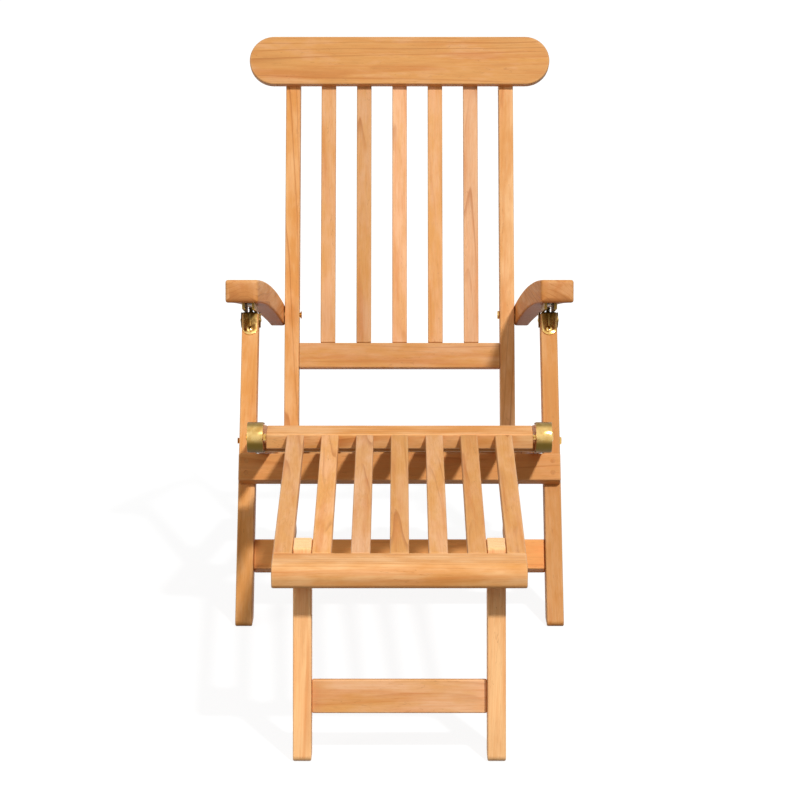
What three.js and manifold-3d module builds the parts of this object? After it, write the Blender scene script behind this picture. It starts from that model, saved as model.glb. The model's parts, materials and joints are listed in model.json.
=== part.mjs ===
// A folding teak steamer deck chair: slatted back, arms, seat and footrest, with brass fittings.
// Millimetres, +Z up. The sitter faces -Y. The origin is on the floor, in the middle of the chair.
import * as THREE from 'three';
import { mergeVertices } from 'three/addons/utils/BufferGeometryUtils.js';
import Module from 'manifold-3d';

const wasm = await Module();
wasm.setup();

const degree = Math.PI / 180;

// Fits shared by all pieces.
const jointGap = 0.3; // between pieces that are fixed or bear on each other
const runningGap = 0.4; // round a bolt that turns in its hole
const overrun = 4; // how far a cutter runs past what it cuts
const ease = 2; // eased edge on every board
const weldDistance = 0.001; // vertices nearer than this are one
const boardFacets = 6; // along each curve of a board's outline

// Side view: places along the chair are counted from the front leg bolt.
const legBoltHeight = 278;
const legBoltPlace = 159.5; // of the front leg bolt behind the origin
const seatFall = 13.1 * degree; // the side rails fall to the back
const legLean = 32.5 * degree; // front legs, foot forward
const backLean = 20 * degree; // back, from the vertical
const footrestFall = 7.2 * degree; // footrest, to its front
const footrestLegLean = 12.3 * degree; // footrest legs, foot forward
const rearLegSplay = 42.2 * degree; // rear legs, foot backward

// Side rails.
const railThickness = 25.5;
const railOuter = 245.5; // from the middle of the chair to the rail's outer face
const railDepth = 44;
const railFront = 324; // from the leg bolt to the middle of the nose
const railRear = 322; // from the leg bolt to the middle of the rounded rear end
const railInner = railOuter - railThickness;

// Seat slats and the two boards that carry them.
const slatWidth = 27.8;
const slatCount = 7;
const slatSideGap = 39; // between an outer slat and the side rail; the rear legs fold there
const slatPitch = (railInner - slatSideGap - slatWidth / 2) * 2 / (slatCount - 1);
const seatSlatThickness = 16;
const seatSlatTop = 9; // above the rail's centre line
const seatSlatFront = 292; // from the leg bolt
const seatSlatRear = 262;
const seatBoardWidth = 50;
const seatBoardThickness = 15.5;
const seatBoardInset = 6; // of the front board behind the slats' front ends
const seatRearBoardPlace = 190; // of the rear board's middle behind the leg bolt

// Rear legs, set against the rails' inner faces.
const rearLegThickness = 22.5;
const rearLegDepth = 44;
const rearLegPlace = 240; // of its top behind the leg bolt, along the rail
const rearLegDrop = 10; // of its top's middle below the rail's centre line
const rearStretcherHeight = 44;
const rearStretcherThickness = 20;
const rearStretcherDrop = 72; // from the rear leg's top, along the leg

// Brass straps round the rails' noses.
const strapThickness = 2;
const strapTail = 52; // how far the strap runs back from the middle of the nose
const strapFacets = 10; // round a quarter of the nose

// Front legs, with the apron that stops them and their stretcher.
const legThickness = 28.5;
const legGap = 2.75; // washer between leg and rail
const legDepth = 48;
const apronHeight = 49;
const apronThickness = 22;
const apronInset = 1; // of the apron's ends behind the legs' outer faces
const stretcherHeight = 53;
const stretcherThickness = 24;
const stretcherDrop = 210; // from the leg bolt to the stretcher's middle, along the leg
const legInner = railOuter + legGap;
const legOuter = legInner + legThickness;
const legMiddle = (legInner + legOuter) / 2;

// Brass cap on each front leg, and its stud.
const capThickness = 2.2;
const capWidth = 19; // of the front and rear tongues
const capFrontTail = 36;
const capRearTail = 24;
const capEarDrop = 26;
const capEarWidth = 26;
const studRadius = 4.5;
const studHeight = 10;
const studDomeRise = 2.25;
const studDomeShoulder = 2.25; // from the stud's axis to the dome's one ring

// Bolts.
const boltRadius = 4;
const boltHeadRadius = 7.6;
const boltHeadHeight = 4;
const boltTurns = 20; // facets round a bolt
const thinBoltRadius = 3;
const headTopShare = 0.75; // of a bolt head's radius, across its top
const pinHeadHeight = 2.5;
const footRound = 10; // at the corners of every foot
const cornerRound = 6; // at the front legs' tops

// Back.
const stileThickness = 27;
const stileSideGap = 6.5; // washer between stile and side rail
const stileOuter = railInner - stileSideGap;
const stileDepth = 44;
const stileFront = 14; // from the back bolt to the stile's front face
const stileTop = 741; // above the back bolt, along the stile
const backBoltPlace = 309; // behind the leg bolt, along the rail
const backBoltRise = 8; // above the rail's centre line
const headrestLength = 563;
const headrestHeight = 92;
const headrestThickness = 20;
const headrestTop = 760; // above the back bolt, along the stile
const headrestFacets = 12; // round each end
const backSlatCount = 5;
const backSlatWidth = 27.4;
const backSlatSideGap = 39.75; // between an outer slat and the stile
const backSlatThickness = 14;
const backSlatOverlap = 40; // behind the headrest
const backRailHeight = 47;
const backRailThickness = 22;
const backRailPlace = 132; // of its lower edge above the back bolt
const stileInner = stileOuter - stileThickness;
const backSlatPitch = (stileInner - backSlatSideGap - backSlatWidth / 2) * 2 / (backSlatCount - 1);

// Arms. The arch is a curve from the front face to the arm bolt.
const armBoltUp = 235; // above the back bolt, along the stile
const armBoltForward = -6; // in front of the back bolt's line
const armReach = 372; // from the arm bolt forward to the front face
const armRise = 103; // from the arm bolt up to the middle of the front face
const armArchShare = 0.52; // how far behind the front face the arch bends most, as a share of the reach
const armArchRise = 74; // of that point above the arm bolt
const armDepth = 39.5;
const armFrontWidth = 57;
const armRearWidth = 27;
const armFrontOverhang = 26; // past the front leg's outer face
const armNoseRound = 9;
const noseRoundShare = 0.024; // where the nose's rounding starts, as a share of the arch
const armSteps = 10;
const armFacets = 8;
const stileGap = 0.35; // between arm and stile
const armInner = stileOuter + stileGap;
const armFrontOuter = legOuter + armFrontOverhang;

// Brass channel under each arm, in which the stud slides.
const channelWidth = 22;
const channelDepth = 15;
const channelLetIn = 1.5; // into the arm's underside
const studSearchSteps = 40; // halvings that find where the leg's line meets the arch
const channelWeb = 2.5;
const channelSlot = 12.5;
const channelAhead = 90; // of the stud
const channelBehind = 16;
const studClearance = 1.2; // between the cap and the channel

// Footrest.
const footRailWidth = 46;
const footRailThickness = 25;
const footRailSideGap = 5.2; // between its ends and the side rails
const footSlatThickness = 20;
const footSlatEnd = 537; // from the hinge to the slats' front ends
const footNoseWidth = 56;
const footNoseReach = 0; // of the front rail's ends past the outer slats
const footNoseThickness = 34;
const footNoseTopRound = 20;
const footNoseLowRound = 8;
const footNoseFacets = 8;
const hingePinSeat = 22; // how far the pin runs into the footrest's rail

// Footrest legs.
const footSlatsPerLeg = 2; // each leg's top lies between this many outer slats
const footLegSetback = 35; // of their bolt behind the slats' front ends
const footLegPlace = footSlatEnd - footLegSetback; // in front of the hinge
const footLegRise = 2.5; // of their bolt above the rear rail's middle
const footLegThickness = 26.4;
const footLegDepth = 45;
const footStretcherHeight = 48;
const footStretcherThickness = 20;
const footStretcherDrop = 209; // from their bolt, along the leg

// Materials.
const brass = new THREE.MeshStandardMaterial({ color: 0xc9a24e, roughness: 0.25, metalness: 1 });
const teaks = [0xc98a45, 0xd39a55, 0xbd7f42, 0xcf9560].map(
  (color) => new THREE.MeshStandardMaterial({ color, roughness: 0.55, metalness: 0 }),
);
let teakTurn = 0;
const nextTeak = () => teaks[teakTurn++ % teaks.length];

// Which way an outline faces before its group turns it.
const facing = {
  side: new THREE.Matrix4().makeBasis(
    new THREE.Vector3(0, 1, 0), new THREE.Vector3(0, 0, 1), new THREE.Vector3(1, 0, 0)),
  flat: new THREE.Matrix4(),
  end: new THREE.Matrix4().makeBasis(
    new THREE.Vector3(1, 0, 0), new THREE.Vector3(0, 0, 1), new THREE.Vector3(0, -1, 0)),
};

// A closed outline with its corners rounded; each point is [across, up, radius].
function roundedOutline(points) {
  const shape = new THREE.Shape();
  const count = points.length;
  points.forEach(([across, up, radius], index) => {
    const corner = new THREE.Vector2(across, up);
    const before = new THREE.Vector2(...points[(index + count - 1) % count]);
    const after = new THREE.Vector2(...points[(index + 1) % count]);
    const arrive = before.sub(corner).setLength(radius).add(corner);
    const leave = after.sub(corner).setLength(radius).add(corner);
    if (index === 0) shape.moveTo(arrive.x, arrive.y);
    else shape.lineTo(arrive.x, arrive.y);
    shape.quadraticCurveTo(corner.x, corner.y, leave.x, leave.y);
  });
  shape.closePath();
  return shape;
}

// A board outline with two straight sides and a half round at one or both ends.
function barOutline(from, to, low, high, roundFrom, roundTo) {
  const radius = (high - low) / 2;
  const middle = (high + low) / 2;
  const shape = new THREE.Shape();
  shape.moveTo(from, low);
  shape.lineTo(to, low);
  if (roundTo) shape.absarc(to, middle, radius, -Math.PI / 2, Math.PI / 2, false);
  else shape.lineTo(to, high);
  shape.lineTo(from, high);
  if (roundFrom) shape.absarc(from, middle, radius, Math.PI / 2, Math.PI * 1.5, false);
  shape.closePath();
  return shape;
}

function rectangle(from, to, low, high) {
  return barOutline(from, to, low, high, false, false);
}

function hole(shape, across, up, radius) {
  const path = new THREE.Path();
  path.absarc(across, up, radius, 0, Math.PI * 2, true);
  shape.holes.push(path);
}

// A board: its outline, how far it reaches from and to along its thickness, and which way it faces.
function board(shape, from, to, face, round = ease, curveSegments = boardFacets) {
  const geometry = new THREE.ExtrudeGeometry(shape, {
    depth: to - from - 2 * round,
    bevelEnabled: round > 0,
    bevelThickness: round,
    bevelSize: round,
    bevelOffset: -round,
    bevelSegments: 1,
    curveSegments,
  });
  geometry.translate(0, 0, from + round);
  geometry.applyMatrix4(facing[face]);
  return geometry;
}

// A turned piece about an axis along X; the profile is pairs of [radius, along].
function turned(profile, facets = boltTurns) {
  const geometry = new THREE.LatheGeometry(profile.map((point) => new THREE.Vector2(...point)), facets);
  geometry.rotateZ(-Math.PI / 2);
  return geometry;
}

function rod(radius, from, to) {
  return turned([[0, from], [radius, from], [radius, to], [0, to]]);
}

// Solids for cutting and joining.
function solid(geometry) {
  const bare = geometry.clone();
  bare.deleteAttribute('normal');
  bare.deleteAttribute('uv');
  const merged = mergeVertices(bare, weldDistance);
  return new wasm.Manifold(new wasm.Mesh({
    numProp: 3,
    vertProperties: new Float32Array(merged.attributes.position.array),
    triVerts: new Uint32Array(merged.index.array),
  }));
}

function geometryOf(body) {
  const mesh = body.getMesh();
  const geometry = new THREE.BufferGeometry();
  geometry.setAttribute('position', new THREE.BufferAttribute(mesh.vertProperties, 3));
  geometry.setIndex(new THREE.BufferAttribute(mesh.triVerts, 1));
  return geometry;
}

function cutBy(geometry, ...cutters) {
  return geometryOf(cutters.reduce((body, cutter) => body.subtract(solid(cutter)), solid(geometry)));
}

function joined(...pieces) {
  return geometryOf(pieces.slice(1).reduce((body, piece) => body.add(solid(piece)), solid(pieces[0])));
}

// Groups: each is one moving frame of the chair, with its own tilt.
const chair = new THREE.Group();

function frameAt(parent, y, z, turn) {
  const group = new THREE.Group();
  group.position.set(0, y, z);
  group.rotation.x = turn;
  parent.add(group);
  return group;
}

function put(group, name, geometry, material = nextTeak()) {
  const mesh = new THREE.Mesh(geometry, material);
  mesh.name = name;
  group.add(mesh);
  return mesh;
}

const sides = [['left', -1], ['right', 1]]; // the viewer's left from the front is -X

// A board's reach from the middle of the chair, turned to its side.
const reach = (side, inner, outer) => (side > 0 ? [inner, outer] : [-outer, -inner]);

const seat = frameAt(chair, legBoltPlace, legBoltHeight, -seatFall);
const legs = frameAt(chair, legBoltPlace, legBoltHeight, Math.PI / 2 - legLean);
const back = frameAt(seat, backBoltPlace, backBoltRise, seatFall + Math.PI / 2 - backLean);
const footrest = frameAt(seat, -railFront, 0, seatFall + footrestFall);
const footLegs = frameAt(footrest, -footLegPlace, footLegRise, Math.PI / 2 - footrestLegLean - footrestFall);
const rearLegs = frameAt(seat, rearLegPlace, -rearLegDrop, seatFall + Math.PI / 2 + rearLegSplay);

// Side rails.
const railHalf = railDepth / 2;
for (const [word, side] of sides) {
  const shape = barOutline(-railFront, railRear, -railHalf, railHalf, true, true);
  hole(shape, 0, 0, boltRadius + runningGap);
  hole(shape, backBoltPlace, backBoltRise, boltRadius + runningGap);
  hole(shape, -railFront, 0, boltRadius + runningGap);
  put(seat, `${word}_side_rail`, board(shape, ...reach(side, railInner, railOuter), 'side'));
}

// Seat slats on their two boards.
const seatBoardTop = seatSlatTop - seatSlatThickness - jointGap;
const seatBoardHalf = railInner - jointGap;
for (const [name, place] of [
  ['seat_front_rail', -seatSlatFront + seatBoardInset + seatBoardWidth / 2],
  ['seat_rear_rail', seatRearBoardPlace],
]) {
  const half = seatBoardWidth / 2;
  const shape = rectangle(-seatBoardHalf, seatBoardHalf, place - half, place + half);
  put(seat, name, board(shape, seatBoardTop - seatBoardThickness, seatBoardTop, 'flat'));
}
const slatPlaces = (count, pitch) => Array.from({ length: count }, (_, i) => (i - (count - 1) / 2) * pitch);
slatPlaces(slatCount, slatPitch).forEach((x, index) => {
  const shape = rectangle(x - slatWidth / 2, x + slatWidth / 2, -seatSlatFront, seatSlatRear);
  put(seat, `seat_slat_${index + 1}`, board(shape, seatSlatTop - seatSlatThickness, seatSlatTop, 'flat'));
});

// Brass straps round the noses.
const strapInner = railHalf + jointGap;
const strapOuter = strapInner + strapThickness;
for (const [word, side] of sides) {
  const shape = new THREE.Shape();
  shape.moveTo(-railFront + strapTail, strapOuter);
  shape.lineTo(-railFront, strapOuter);
  shape.absarc(-railFront, 0, strapOuter, Math.PI / 2, Math.PI * 1.5, false);
  shape.lineTo(-railFront + strapTail, -strapOuter);
  shape.lineTo(-railFront + strapTail, -strapInner);
  shape.lineTo(-railFront, -strapInner);
  shape.absarc(-railFront, 0, strapInner, Math.PI * 1.5, Math.PI / 2, true);
  shape.lineTo(-railFront + strapTail, strapInner);
  shape.closePath();
  put(seat, `${word}_nose_strap`, board(shape, ...reach(side, railInner, railOuter), 'side', 0, strapFacets),
    brass);
}

// A leg's lower outline: how far down the leg the floor lies, at a distance in front of its middle.
const floorAt = (height, lean, forward) => -height / Math.cos(lean) - forward * Math.tan(lean);

// A leg with a half round top about its bolt and a level foot with rounded corners.
function roundTopLeg(height, lean, half) {
  const rear = floorAt(height, lean, -half);
  const front = floorAt(height, lean, half);
  const roundShare = footRound / (2 * half);
  const shape = new THREE.Shape();
  shape.moveTo(rear + (front - rear) * roundShare, -half + footRound);
  shape.quadraticCurveTo(rear, -half, rear + footRound, -half);
  shape.lineTo(0, -half);
  shape.absarc(0, 0, half, -Math.PI / 2, Math.PI / 2, false);
  shape.lineTo(front + footRound, half);
  shape.quadraticCurveTo(front, half, front + (rear - front) * roundShare, half - footRound);
  shape.closePath();
  return shape;
}

// Rear legs with their stretcher.
const rearLegTopHeight = legBoltHeight - rearLegPlace * Math.sin(seatFall) - rearLegDrop * Math.cos(seatFall);
const rearLegOuter = railInner - jointGap;
const rearLegInner = rearLegOuter - rearLegThickness;
for (const [word, side] of sides) {
  const shape = roundTopLeg(rearLegTopHeight, -rearLegSplay, rearLegDepth / 2);
  put(rearLegs, `${word}_rear_leg`, board(shape, ...reach(side, rearLegInner, rearLegOuter), 'side'));
}

// A rail that lies in the plane of a frame, between two legs or stiles.
function crossRail(half, middle, height, low, high) {
  return board(rectangle(-half, half, middle - height / 2, middle + height / 2), low, high, 'flat');
}
put(rearLegs, 'rear_stretcher', crossRail(rearLegInner - jointGap, -rearStretcherDrop, rearStretcherHeight,
  -rearStretcherThickness / 2, rearStretcherThickness / 2));

// The arm's arch, from its front face to the arm bolt, as places seen from the bolt.
function archPoint(share) {
  const rest = 1 - share;
  const bend = 2 * rest * share;
  return new THREE.Vector2(
    -armReach * (rest * rest + bend * (1 - armArchShare)),
    armRise * rest * rest + armArchRise * bend,
  );
}
function archSlope(share) {
  const rest = 1 - share;
  const along = armReach * (rest * armArchShare + share * (1 - armArchShare));
  const fall = rest * (armRise - armArchRise) + share * armArchRise;
  return Math.atan2(fall, along);
}
function archOffset(share, offset) {
  const slope = archSlope(share);
  return archPoint(share).add(new THREE.Vector2(Math.sin(slope), Math.cos(slope)).multiplyScalar(offset));
}

// Where the bolts lie, seen from the front leg bolt.
const middlePoint = new THREE.Vector2();
const turnedBy = (across, up, angle) => new THREE.Vector2(across, up).rotateAround(middlePoint, angle);
const backBolt = turnedBy(backBoltPlace, backBoltRise, -seatFall);
const armBolt = turnedBy(armBoltUp, armBoltForward, Math.PI / 2 - backLean).add(backBolt);

// The stud lies where the front leg's line meets the arch: halvings between the arch's two ends.
const channelAt = (share) => archOffset(share, -armDepth / 2 + channelLetIn);
const studDrop = channelDepth + studClearance - jointGap; // from the channel's top to the stud's foot
const alongLeg = new THREE.Vector2(Math.sin(legLean), Math.cos(legLean));
let studShare = 1 / 2;
for (let step = 2; step < studSearchSteps; step += 1) {
  const slope = archSlope(studShare);
  const downToStud = new THREE.Vector2(Math.sin(slope), Math.cos(slope)).multiplyScalar(-studDrop);
  const behindLeg = channelAt(studShare).add(armBolt).add(downToStud).cross(alongLeg);
  studShare -= Math.sign(behindLeg) / 2 ** step;
}

// The channel's frame under the arm, and the height of the leg's top below it.
const studSlope = archSlope(studShare);
const channelTop = channelAt(studShare);
const upFromChannel = new THREE.Vector2(Math.sin(studSlope), Math.cos(studSlope));
const legTopDrop = channelDepth + studClearance + capThickness + jointGap;
const channelHeight = channelTop.clone().add(armBolt).dot(upFromChannel);
const legTop = (channelHeight - legTopDrop) / alongLeg.dot(upFromChannel);
const topSlope = legLean - studSlope;
const topAt = (forward, above) => legTop + above / Math.cos(topSlope) - forward * Math.tan(topSlope);

// Front legs, their apron and stretcher.
const legHalf = legDepth / 2;
for (const [word, side] of sides) {
  const shape = roundedOutline([
    [floorAt(legBoltHeight, legLean, -legHalf), -legHalf, footRound],
    [topAt(-legHalf, 0), -legHalf, cornerRound],
    [topAt(legHalf, 0), legHalf, cornerRound],
    [floorAt(legBoltHeight, legLean, legHalf), legHalf, footRound],
  ]);
  hole(shape, 0, 0, boltRadius + runningGap);
  put(legs, `${word}_front_leg`, board(shape, ...reach(side, legInner, legOuter), 'side'));
}
const apronBack = legHalf + jointGap;
const apronFace = apronBack + apronThickness;
const stopTurn = legLean - seatFall;
const apronTop = (-railHalf - jointGap - apronFace * Math.sin(stopTurn)) / Math.cos(stopTurn);
put(legs, 'front_apron', crossRail(legOuter - apronInset, apronTop - apronHeight / 2, apronHeight,
  apronBack, apronFace));
put(legs, 'front_stretcher', crossRail(legInner - jointGap, -stretcherDrop, stretcherHeight,
  -stretcherThickness / 2, stretcherThickness / 2));

// Brass caps on the legs' tops: tongues down the front and rear, ears down the sides.
const capInner = legHalf + jointGap;
const capOuter = capInner + capThickness;
for (const [word, side] of sides) {
  const middle = side * legMiddle;
  const band = new THREE.Shape();
  const under = jointGap;
  const over = jointGap + capThickness;
  band.moveTo(topAt(capOuter, 0) - capFrontTail, capOuter);
  band.lineTo(topAt(capOuter, over), capOuter);
  band.lineTo(topAt(-capOuter, over), -capOuter);
  band.lineTo(topAt(-capOuter, 0) - capRearTail, -capOuter);
  band.lineTo(topAt(-capOuter, 0) - capRearTail, -capInner);
  band.lineTo(topAt(-capInner, under), -capInner);
  band.lineTo(topAt(capInner, under), capInner);
  band.lineTo(topAt(capOuter, 0) - capFrontTail, capInner);
  band.closePath();
  const strap = board(band, middle - capWidth / 2, middle + capWidth / 2, 'side', 0);
  const earHalf = capEarWidth / 2;
  const ear = (above) => {
    const shape = new THREE.Shape();
    shape.moveTo(topAt(0, 0) - capEarDrop, -earHalf);
    shape.lineTo(topAt(0, 0) - capEarDrop, earHalf);
    shape.lineTo(topAt(earHalf, above), earHalf);
    shape.lineTo(topAt(-earHalf, above), -earHalf);
    shape.closePath();
    return shape;
  };
  const earReach = legThickness / 2 + jointGap;
  const saddleReach = earReach + capThickness;
  const saddle = board(ear(over), middle - saddleReach, middle + saddleReach, 'side', 0);
  const inside = board(ear(under), middle - earReach, middle + earReach, 'side', 0);
  const below = board(rectangle(topAt(0, 0) - capEarDrop - overrun, topAt(0, 0) - capEarDrop + overrun,
    -earHalf - overrun, earHalf + overrun), middle - earReach, middle + earReach, 'side', 0);
  const ears = geometryOf(solid(saddle).subtract(solid(inside)).subtract(solid(below)));
  put(legs, `${word}_leg_cap`, joined(strap, ears), brass);

  const studFrame = frameAt(legs, topAt(0, over + jointGap), 0, -studSlope - Math.PI / 2 + legLean);
  const domeDrop = (radius) => studDomeRise * (radius / studRadius) ** 2;
  const stud = new THREE.LatheGeometry([
    new THREE.Vector2(0, 0),
    new THREE.Vector2(studRadius, 0),
    new THREE.Vector2(studRadius, studHeight - domeDrop(studRadius)),
    new THREE.Vector2(studDomeShoulder, studHeight - domeDrop(studDomeShoulder)),
    new THREE.Vector2(0, studHeight),
  ], boltTurns);
  stud.rotateX(Math.PI / 2);
  stud.translate(middle, 0, 0);
  put(studFrame, `${word}_arm_stud`, stud, brass);
}

// A bolt along X: nut at its inner end, collars between, head at its outer end.
function bolt(side, nutFace, headFace, collars) {
  const profile = [[0, nutFace - boltHeadHeight], [boltHeadRadius, nutFace - boltHeadHeight],
    [boltHeadRadius, nutFace], [boltRadius, nutFace]];
  for (const [from, to] of collars) {
    profile.push([boltRadius, from], [boltHeadRadius, from], [boltHeadRadius, to], [boltRadius, to]);
  }
  profile.push([boltRadius, headFace], [boltHeadRadius, headFace],
    [boltHeadRadius * headTopShare, headFace + boltHeadHeight], [0, headFace + boltHeadHeight]);
  const geometry = turned(profile);
  if (side < 0) geometry.rotateY(Math.PI);
  return geometry;
}
for (const [word, side] of sides) {
  put(legs, `${word}_leg_bolt`, bolt(side, railInner - jointGap, legOuter + jointGap,
    [[railOuter + jointGap, legInner - jointGap]]), brass);
  put(back, `${word}_back_bolt`, bolt(side, stileInner - jointGap, railOuter + jointGap,
    [[stileOuter + jointGap, railInner - jointGap]]), brass);
}

// Back: stiles, lower rail, slats and the headrest across their fronts.
const stileRear = stileFront - stileDepth;
for (const [word, side] of sides) {
  const shape = barOutline(0, stileTop, stileRear, stileFront, true, false);
  hole(shape, 0, 0, boltRadius + runningGap);
  hole(shape, armBoltUp, armBoltForward, boltRadius + runningGap);
  put(back, `${word}_stile`, board(shape, ...reach(side, stileInner, stileOuter), 'side'));
}
const backRailMiddle = backRailPlace + backRailHeight / 2;
put(back, 'back_lower_rail', crossRail(stileInner - jointGap, backRailMiddle, backRailHeight,
  stileFront - backRailThickness, stileFront));
const headrestLow = headrestTop - headrestHeight;
slatPlaces(backSlatCount, backSlatPitch).forEach((x, index) => {
  const shape = rectangle(x - backSlatWidth / 2, x + backSlatWidth / 2,
    backRailPlace + backRailHeight + jointGap, headrestLow + backSlatOverlap);
  put(back, `back_slat_${index + 1}`, board(shape, stileFront - backSlatThickness, stileFront, 'flat'));
});
const headrestRound = headrestHeight / 2;
const headrestShape = barOutline(headrestRound - headrestLength / 2, headrestLength / 2 - headrestRound,
  headrestLow, headrestTop, true, true);
const headrestBack = stileFront + jointGap;
put(back, 'headrest', board(headrestShape, headrestBack, headrestBack + headrestThickness, 'flat', ease,
  headrestFacets));

// Arms: the arched side outline meets the tapered plan, then the channel is let in.
const arms = frameAt(chair, legBoltPlace + armBolt.x, legBoltHeight + armBolt.y, 0);
for (const [word, side] of sides) {
  const half = armDepth / 2;
  const shares = Array.from({ length: armSteps + 1 }, (_, i) => i / armSteps);
  const low = shares.map((share) => archOffset(share, -half));
  const high = shares.map((share) => archOffset(share, half));
  const outline = new THREE.Shape();
  const noseLift = (half - armNoseRound) / half;
  outline.moveTo(low[1].x, low[1].y);
  low.slice(2).forEach((point) => outline.lineTo(point.x, point.y));
  const tail = archSlope(1);
  outline.absarc(0, 0, half, -Math.PI / 2 - tail, Math.PI / 2 - tail, false);
  high.slice(1, -1).reverse().forEach((point) => outline.lineTo(point.x, point.y));
  const noseTop = archOffset(noseRoundShare, half);
  const noseLow = archOffset(noseRoundShare, -half);
  outline.lineTo(noseTop.x, noseTop.y);
  const faceTop = archOffset(0, half * noseLift);
  const faceLow = archOffset(0, -half * noseLift);
  outline.quadraticCurveTo(high[0].x, high[0].y, faceTop.x, faceTop.y);
  outline.lineTo(faceLow.x, faceLow.y);
  outline.quadraticCurveTo(low[0].x, low[0].y, noseLow.x, noseLow.y);
  outline.closePath();
  hole(outline, 0, 0, boltRadius + runningGap);
  const rearOuter = armInner + armRearWidth;
  const frontInner = armFrontOuter - armFrontWidth;
  const plan = roundedOutline([
    [side * armInner, 0, armNoseRound],
    [side * armInner, half + overrun, 0],
    [side * rearOuter, half + overrun, 0],
    [side * rearOuter, 0, armNoseRound],
    [side * armFrontOuter, -armReach, armNoseRound],
    [side * frontInner, -armReach, armNoseRound],
  ]);
  const wideReach = reach(side, armInner - overrun, armFrontOuter + overrun);
  const wide = board(outline, ...wideReach, 'side', 0, armFacets);
  const deep = board(plan, -half - overrun, armRise + half + overrun, 'flat', 0);
  const channelReach = channelAhead + channelBehind;
  const letIn = new THREE.BoxGeometry(channelWidth + 2 * jointGap, channelReach + 2 * jointGap, channelDepth);
  const channelMiddle = (channelBehind - channelAhead) / 2;
  letIn.translate(side * legMiddle, channelMiddle, jointGap - channelDepth / 2);
  letIn.rotateX(-studSlope);
  letIn.translate(0, channelTop.x, channelTop.y);
  put(arms, `${word}_arm`, geometryOf(solid(wide).intersect(solid(deep)).subtract(solid(letIn))));

  const channelFrame = frameAt(arms, channelTop.x, channelTop.y, -studSlope);
  const section = new THREE.Shape();
  const wallHalf = channelWidth / 2;
  const slotHalf = channelSlot / 2;
  [[-wallHalf, 0], [-wallHalf, -channelDepth], [-slotHalf, -channelDepth], [-slotHalf, -channelWeb],
    [slotHalf, -channelWeb], [slotHalf, -channelDepth], [wallHalf, -channelDepth], [wallHalf, 0],
  ].forEach(([x, z], index) => (index ? section.lineTo(x, z) : section.moveTo(x, z)));
  section.closePath();
  const channel = board(section, -channelBehind, channelAhead, 'end', 0);
  channel.translate(side * legMiddle, 0, 0);
  put(channelFrame, `${word}_arm_channel`, channel, brass);
  const headClearance = boltHeadRadius * (armFrontOuter - rearOuter) / armReach;
  const armHead = rearOuter + jointGap + headClearance;
  put(arms, `${word}_arm_bolt`, bolt(side, stileInner - jointGap, armHead, []), brass);
}

// Footrest: rear rail on the hinge, slats, and the rounded front rail.
const footTop = footRailThickness / 2;
const footRailHalf = railInner - footRailSideGap;
const pinInner = footRailHalf - hingePinSeat;
const rearRail = crossRail(footRailHalf, 0, footRailWidth, -footTop, footTop);
const pinBores = sides.map(
  ([, side]) => rod(boltRadius + jointGap, ...reach(side, pinInner - jointGap, footRailHalf + overrun)),
);
put(footrest, 'footrest_rear_rail', cutBy(rearRail, ...pinBores));
for (const [word, side] of sides) {
  const head = railOuter + jointGap;
  const profile = [[0, pinInner], [boltRadius, pinInner], [boltRadius, head], [boltHeadRadius, head],
    [boltHeadRadius * headTopShare, head + pinHeadHeight], [0, head + pinHeadHeight]];
  const pin = turned(profile);
  if (side < 0) pin.rotateY(Math.PI);
  put(footrest, `${word}_hinge_pin`, pin, brass);
}
const footSlatStart = -footRailWidth / 2 - jointGap;
slatPlaces(slatCount, slatPitch).forEach((x, index) => {
  const slat = board(rectangle(x - slatWidth / 2, x + slatWidth / 2, -footSlatEnd, footSlatStart),
    footTop - footSlatThickness, footTop, 'flat');
  const carriesLeg = Math.min(index, slatCount - 1 - index) < footSlatsPerLeg;
  const bore = rod(thinBoltRadius + runningGap, x - slatWidth / 2 - overrun, x + slatWidth / 2 + overrun);
  bore.translate(0, -footLegPlace, footLegRise);
  put(footrest, `footrest_slat_${index + 1}`, carriesLeg ? cutBy(slat, bore) : slat);
});
const footNoseHalf = slatPitch * (slatCount - 1) / 2 + slatWidth / 2 + footNoseReach;
const noseFrom = -footSlatEnd - jointGap;
const noseTo = noseFrom - footNoseWidth;
const noseLow = footTop - footNoseThickness;
const noseShape = new THREE.Shape();
noseShape.moveTo(noseFrom, noseLow);
noseShape.lineTo(noseFrom, footTop);
noseShape.absarc(noseTo + footNoseTopRound, footTop - footNoseTopRound, footNoseTopRound,
  Math.PI / 2, Math.PI, false);
noseShape.absarc(noseTo + footNoseLowRound, noseLow + footNoseLowRound, footNoseLowRound,
  Math.PI, Math.PI * 1.5, false);
noseShape.closePath();
const frontRail = board(noseShape, -footNoseHalf, footNoseHalf, 'side', ease, footNoseFacets);
put(footrest, 'footrest_front_rail', frontRail);

// Footrest legs: their tops lie between the outer two slats on each side.
const footBoltHeight = legBoltHeight + railFront * Math.sin(seatFall) - footLegPlace * Math.sin(footrestFall)
  + footLegRise * Math.cos(footrestFall);
const footLegMiddle = slatPitch * (slatCount - 2) / 2;
const footLegInner = footLegMiddle - footLegThickness / 2;
const footLegOuter = footLegMiddle + footLegThickness / 2;
for (const [word, side] of sides) {
  const shape = roundTopLeg(footBoltHeight, footrestLegLean, footLegDepth / 2);
  hole(shape, 0, 0, thinBoltRadius + runningGap);
  put(footLegs, `${word}_footrest_leg`, board(shape, ...reach(side, footLegInner, footLegOuter), 'side'));
  const boltInner = footLegMiddle - slatPitch / 2 - slatWidth / 2;
  const boltOuter = footLegMiddle + slatPitch / 2 + slatWidth / 2;
  put(footLegs, `${word}_footrest_bolt`, rod(thinBoltRadius, ...reach(side, boltInner, boltOuter)), brass);
}
const footStretcherHalf = footLegInner - jointGap;
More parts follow.
